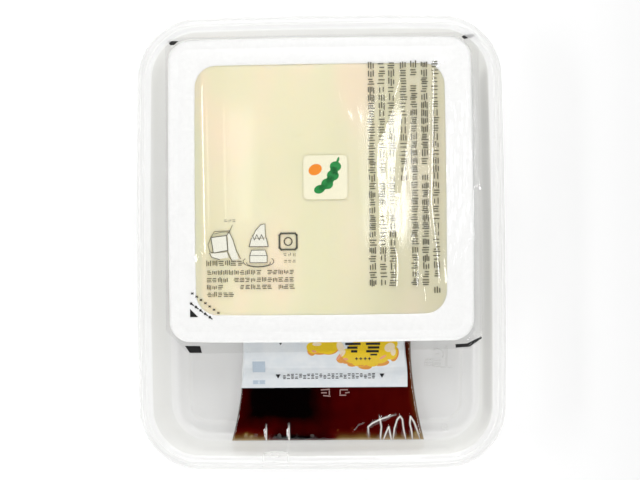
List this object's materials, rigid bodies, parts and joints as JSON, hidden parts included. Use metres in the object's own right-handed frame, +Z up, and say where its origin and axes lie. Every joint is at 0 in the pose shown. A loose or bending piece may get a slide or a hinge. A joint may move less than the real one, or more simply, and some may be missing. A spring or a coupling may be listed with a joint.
{
  "type": "packed tofu block",
  "caption": "Square tofu block in a sealed tub with a clear lid film, standing on its sauce sachets in an open plastic tray.",
  "frame": {"origin": "middle of the tray's foot, on the surface it stands on", "axes": "+Z up, +Y along the tray towards the end where the tub stands, +X to the right seen from above"},
  "size_m": [0.123, 0.1518, 0.039],
  "materials": {
    "tray_plastic": "glossy, milky clear",
    "tub_plastic": "satin white",
    "tofu": "moist and smooth, pale cream bean curd",
    "clear_film": "glossy, clear, with dark print",
    "sauce_pouch": "glossy clear film over dark soy sauce",
    "ginger_sachet": "satin white film with coloured print"
  },
  "bodies": {
    "root": {"tray": "tray_plastic", "tub": "tub_plastic", "tofu": "tofu", "lid_film": "clear_film", "sauce_sachet": "sauce_pouch", "ginger_sachet": "ginger_sachet"}
  },
  "joints": []
}
